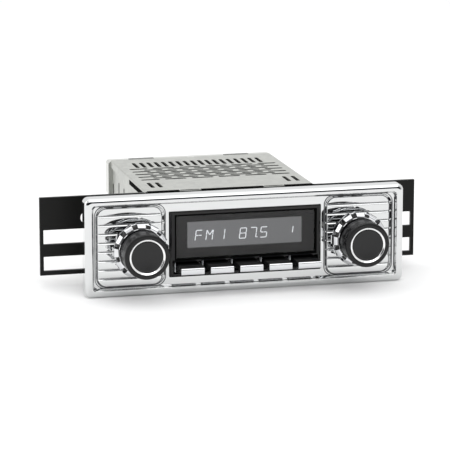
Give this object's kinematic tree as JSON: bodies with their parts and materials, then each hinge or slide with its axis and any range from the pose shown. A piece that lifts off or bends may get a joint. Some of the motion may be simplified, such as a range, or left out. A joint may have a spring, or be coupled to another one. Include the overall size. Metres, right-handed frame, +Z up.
{
  "type": "car radio",
  "caption": "Dash-mounted car radio with a chromed ribbed bezel, smoked display, push keys, concentric shaft knobs, vented steel case and slotted side brackets.",
  "frame": {"origin": "centre of the bezel's back plane, the plane that seats on the dashboard", "axes": "+X to the right seen from the front, +Y into the dashboard, +Z up"},
  "size_m": [0.2164, 0.1808, 0.055],
  "materials": {
    "chrome_bezel": "bright chrome plate",
    "ribbed_chrome": "bright chrome plate with fine grooves",
    "chrome_ring": "bright chrome plate",
    "chrome_key_face": "satin chrome plate",
    "spun_aluminium": "turned and lacquered",
    "black_gloss_plastic": "polished moulding",
    "black_plastic": "moulded",
    "knob_plastic": "satin moulding",
    "knob_disc_plastic": "satin moulding",
    "smoked_lens": "smoked, polished",
    "lcd_glass": "polarised display glass",
    "light_guide": "milky acrylic",
    "circuit_board": "solder mask over glass fibre",
    "black_steel": "gloss black paint",
    "plain_steel": "bright zinc plate",
    "zinc_steel": "galvanised sheet",
    "extruded_aluminium": "as extruded",
    "nickel_brass": "nickel plate over brass",
    "fuse_plastic": "translucent moulding",
    "chip_plastic": "moulded epoxy",
    "capacitor_sleeve": "shrink sleeve"
  },
  "bodies": {
    "body": {"bezel": "chrome_bezel", "left_trim_plate": "ribbed_chrome", "right_trim_plate": "ribbed_chrome", "display_housing": "black_gloss_plastic", "display_lens": "smoked_lens", "lcd_glass": "lcd_glass", "backlight": "light_guide", "display_board": "circuit_board", "main_board": "circuit_board", "key_switches": "black_plastic", "link_connector": "black_plastic", "carrier_plate": "black_steel", "carrier_walls": "black_steel", "front_panel": "black_steel", "left_bracket": "black_steel", "right_bracket": "black_steel", "shaft_bushings": "plain_steel", "shaft_nuts": "plain_steel", "machine_screws": "plain_steel", "rear_stud": "plain_steel", "chassis_tray": "zinc_steel", "top_cover": "zinc_steel", "rear_panel": "zinc_steel", "tuner_module": "zinc_steel", "heat_sink": "extruded_aluminium", "antenna_socket": "nickel_brass", "wiring_socket": "black_plastic", "wiring_pins": "nickel_brass", "blade_fuse": "fuse_plastic", "amplifier_chip": "chip_plastic", "logic_chips": "chip_plastic", "capacitors": "capacitor_sleeve", "left_control_pod": "black_plastic", "left_rotary_control": "black_plastic", "right_control_pod": "black_plastic", "right_rotary_control": "black_plastic"},
    "key_1": {"key_1_body": "black_plastic", "key_1_face": "chrome_key_face"},
    "key_2": {"key_2_body": "black_plastic", "key_2_face": "chrome_key_face"},
    "key_3": {"key_3_body": "black_plastic", "key_3_face": "chrome_key_face"},
    "key_4": {"key_4_body": "black_plastic", "key_4_face": "chrome_key_face"},
    "key_5": {"key_5_body": "black_plastic", "key_5_face": "chrome_key_face"},
    "left_ring": {"left_sleeve": "plain_steel", "left_ring_knob": "chrome_ring"},
    "left_push": {"left_plunger": "black_plastic"},
    "left_turn": {"left_shaft": "plain_steel", "left_knob": "knob_plastic", "left_knob_ring": "spun_aluminium", "left_knob_disc": "knob_disc_plastic"},
    "right_ring": {"right_sleeve": "plain_steel", "right_ring_knob": "chrome_ring"},
    "right_push": {"right_plunger": "black_plastic"},
    "right_turn": {"right_shaft": "plain_steel", "right_knob": "knob_plastic", "right_knob_ring": "spun_aluminium", "right_knob_disc": "knob_disc_plastic"}
  },
  "joints": [
    {"name": "key_1_press", "type": "slide", "parent": "body", "child": "key_1", "axis": [0, 1, 0], "range_m": [0, 0.0012], "stiffness_N_per_m": 300, "springref_m": -0.0015},
    {"name": "key_2_press", "type": "slide", "parent": "body", "child": "key_2", "axis": [0, 1, 0], "range_m": [0, 0.0012], "stiffness_N_per_m": 300, "springref_m": -0.0015},
    {"name": "key_3_press", "type": "slide", "parent": "body", "child": "key_3", "axis": [0, 1, 0], "range_m": [0, 0.0012], "stiffness_N_per_m": 300, "springref_m": -0.0015},
    {"name": "key_4_press", "type": "slide", "parent": "body", "child": "key_4", "axis": [0, 1, 0], "range_m": [0, 0.0012], "stiffness_N_per_m": 300, "springref_m": -0.0015},
    {"name": "key_5_press", "type": "slide", "parent": "body", "child": "key_5", "axis": [0, 1, 0], "range_m": [0, 0.0012], "stiffness_N_per_m": 300, "springref_m": -0.0015},
    {"name": "left_ring_turn", "type": "hinge", "parent": "body", "child": "left_ring", "pos_m": [-0.0614, 0, 0], "axis": [0, -1, 0], "range_deg": [-135, 135]},
    {"name": "left_knob_press", "type": "slide", "parent": "body", "child": "left_push", "axis": [0, 1, 0], "range_m": [0, 0.0008], "stiffness_N_per_m": 600, "springref_m": -0.002},
    {"name": "left_knob_turn", "type": "hinge", "parent": "left_push", "child": "left_turn", "pos_m": [-0.0614, 0, 0], "axis": [0, -1, 0], "continuous": true},
    {"name": "right_ring_turn", "type": "hinge", "parent": "body", "child": "right_ring", "pos_m": [0.0614, 0, 0], "axis": [0, -1, 0], "range_deg": [-135, 135]},
    {"name": "right_knob_press", "type": "slide", "parent": "body", "child": "right_push", "axis": [0, 1, 0], "range_m": [0, 0.0008], "stiffness_N_per_m": 600, "springref_m": -0.002},
    {"name": "right_knob_turn", "type": "hinge", "parent": "right_push", "child": "right_turn", "pos_m": [0.0614, 0, 0], "axis": [0, -1, 0], "continuous": true}
  ]
}
